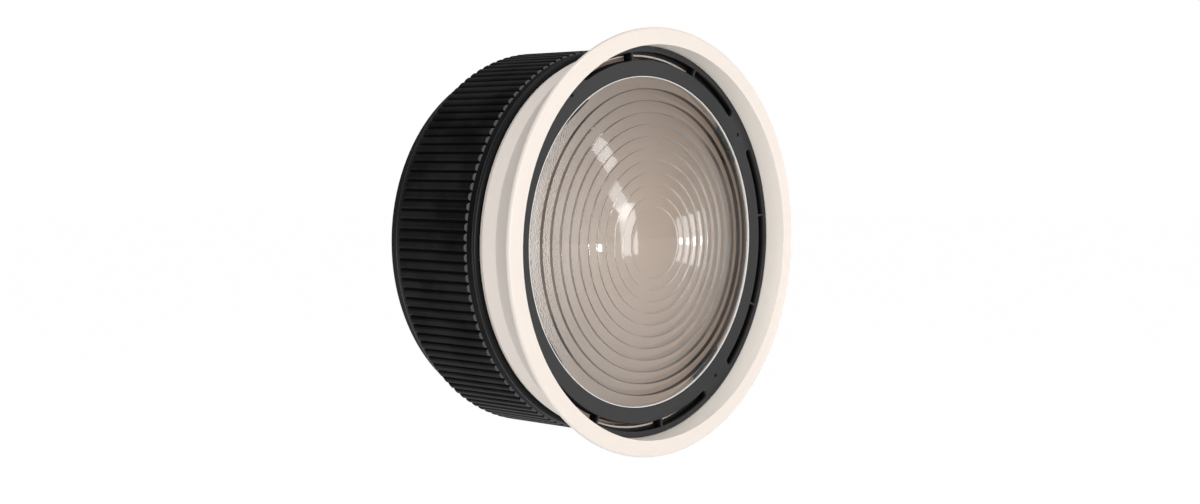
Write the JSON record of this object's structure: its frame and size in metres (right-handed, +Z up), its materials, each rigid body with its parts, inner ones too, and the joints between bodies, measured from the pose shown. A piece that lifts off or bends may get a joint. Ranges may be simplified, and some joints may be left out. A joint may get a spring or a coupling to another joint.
{
  "type": "focusing fresnel lens attachment",
  "caption": "Stepped spot lens in a vented bezel, carried by a flared telescoping barrel that a ribbed focus ring drives; a bayonet at the rear locks it on a studio light.",
  "frame": {"origin": "on the optical axis, in the plane of the mounting plate's rear face", "axes": "-Y along the optical axis towards the front of the lens, +Z up, +X to the right as seen from the front"},
  "size_m": [0.242, 0.149, 0.242],
  "materials": {
    "black_paint": "satin black enamel",
    "plate_steel": "fine brushed",
    "screw_steel": "bright zinc",
    "liner_white": "matt off-white enamel",
    "black_anodised": "satin black anodised",
    "nylon": "natural nylon",
    "felt": "wool felt",
    "grip_rubber": "matt black rubber",
    "cream_paint": "satin warm white enamel",
    "bezel_charcoal": "satin charcoal",
    "lens_glass": "clear front, stippled back",
    "soft_rubber": "matt silicone rubber",
    "spring_steel": "blackened spring steel",
    "roller_brass": "turned brass"
  },
  "bodies": {
    "rear": {"rear_housing": "black_paint", "mount_plate": "plate_steel", "bayonet_ring": "plate_steel", "bayonet_screws": "screw_steel", "plate_screws": "screw_steel", "light_liner": "liner_white", "guide_tube": "black_anodised", "guide_screws": "screw_steel", "retaining_ring": "black_anodised", "thrust_washer": "nylon", "dust_seal": "felt"},
    "ring": {"focus_ring": "black_anodised", "rubber_grip": "grip_rubber"},
    "barrel": {"front_barrel": "cream_paint", "lens_bezel": "bezel_charcoal", "fresnel_lens": "lens_glass", "lens_gasket": "soft_rubber", "clip_pads": "soft_rubber", "lens_clip_1": "spring_steel", "lens_clip_2": "spring_steel", "lens_clip_3": "spring_steel", "lens_clip_4": "spring_steel", "clip_screws": "screw_steel", "follower_pin_1": "screw_steel", "follower_pin_2": "screw_steel", "follower_pin_3": "screw_steel", "follower_roller_1": "roller_brass", "follower_roller_2": "roller_brass", "follower_roller_3": "roller_brass"}
  },
  "joints": [
    {"name": "focus_turn", "type": "hinge", "parent": "rear", "child": "ring", "pos_m": [0, 0, 0], "axis": [0, -1, 0], "range_deg": [0, 100]},
    {"name": "barrel_slide", "type": "slide", "parent": "rear", "child": "barrel", "axis": [0, -1, 0], "range_m": [0, 0.026]}
  ],
  "couplings": [
    {"joint": "barrel_slide", "follows": "focus_turn", "m_per_rad": 0.014896}
  ]
}
